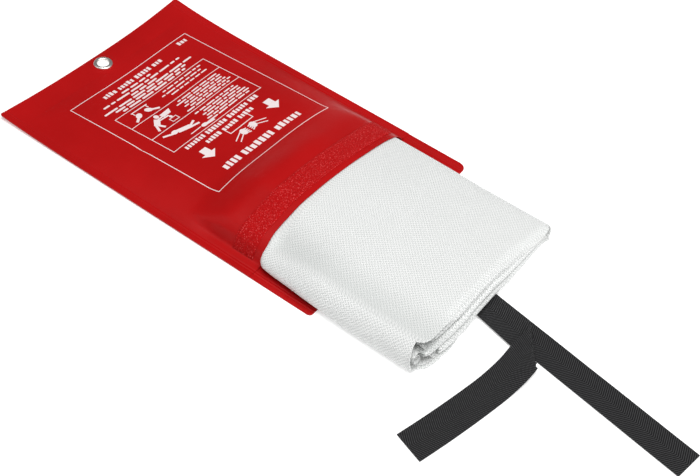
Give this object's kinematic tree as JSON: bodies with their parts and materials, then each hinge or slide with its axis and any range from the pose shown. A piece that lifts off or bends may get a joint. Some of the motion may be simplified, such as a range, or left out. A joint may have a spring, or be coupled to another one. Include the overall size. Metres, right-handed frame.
{
  "type": "fire_blanket",
  "caption": "Folded fire blanket half drawn from a welded soft plastic pouch with a hanging eyelet, hook-and-loop flap and pull tapes that lift and unfold",
  "frame": {"origin": "axis of the hanging eyelet, at the height of the surface that the pouch lies on, which is the back sheet's outer face", "axes": "+Y to the pouch's closed top edge, the mouth and the pull tapes towards -Y, +Z out through the pouch's front sheet"},
  "size_m": [0.256, 0.5813, 0.0297],
  "materials": {
    "pouch_film": "semi-gloss soft PVC film, finely wrinkled",
    "strip_fabric": "brushed nylon hook and loop",
    "nickel": "polished nickel plate",
    "glass_cloth": "satin-weave woven glass fibre, matte with a slight sheen",
    "tape_webbing": "black herringbone webbing, matte",
    "thread": "black sewing thread"
  },
  "bodies": {
    "pouch": {"pouch_back_sheet": "pouch_film", "pouch_front_sheet": "pouch_film", "loop_strip": "strip_fabric", "hook_strip": "strip_fabric", "eyelet": "nickel", "eyelet_washer": "nickel"},
    "blanket": {"folded_blanket": "glass_cloth", "lower_tape_sewn_end": "tape_webbing", "upper_tape_sewn_end": "tape_webbing", "tape_stitching": "thread"},
    "lower_tape": {"lower_pull_tape": "tape_webbing"},
    "upper_tape": {"upper_pull_tape_root": "tape_webbing"},
    "upper_tape_end": {"upper_pull_tape_end": "tape_webbing"}
  },
  "joints": [
    {"name": "blanket_pull", "type": "slide", "parent": "pouch", "child": "blanket", "axis": [0, -1, 0], "range_m": [0, 0.11]},
    {"name": "lower_tape_lift", "type": "hinge", "parent": "blanket", "child": "lower_tape", "pos_m": [-0.0137, -0.3995, 0.0012], "axis": [-0.9877, 0.1564, 0], "range_deg": [0, 40]},
    {"name": "upper_tape_lift", "type": "hinge", "parent": "lower_tape", "child": "upper_tape", "pos_m": [-0.0137, -0.3995, 0.0015], "axis": [-0.9877, 0.1564, 0], "range_deg": [0, 30]},
    {"name": "upper_tape_unfold", "type": "hinge", "parent": "upper_tape", "child": "upper_tape_end", "pos_m": [-0.02261, -0.43656, 0.00285], "axis": [0.809, 0.5878, 0], "range_deg": [0, 175]}
  ]
}
